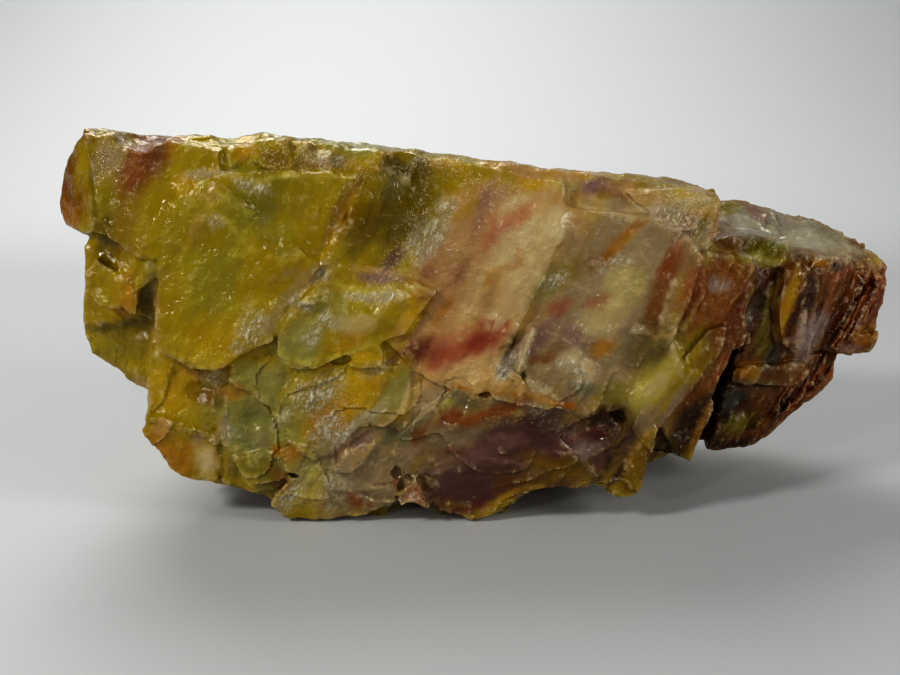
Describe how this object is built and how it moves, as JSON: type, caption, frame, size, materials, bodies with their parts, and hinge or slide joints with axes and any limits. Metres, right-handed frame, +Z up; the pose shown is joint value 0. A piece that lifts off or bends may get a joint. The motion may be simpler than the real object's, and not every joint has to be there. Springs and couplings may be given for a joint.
{
  "type": "petrified wood specimen",
  "caption": "Rough hand specimen of petrified wood: a broken, banded length of silicified log with chipped faces and a fibrous end, resting on a small flat spot.",
  "frame": {"origin": "bottom centre of the bounding box, on the surface that the stone rests on", "axes": "+X along the stone from its tall end to its fibrous broken end, +Y from the chipped front to the back, +Z up"},
  "size_m": [0.1928, 0.0738, 0.0874],
  "materials": {
    "silicified_wood": "waxy broken chalcedony banded in mustard, olive, cream, rose and maroon, with rust-red wood fibre at one end"
  },
  "bodies": {
    "root": {"petrified_wood": "silicified_wood"}
  },
  "joints": []
}
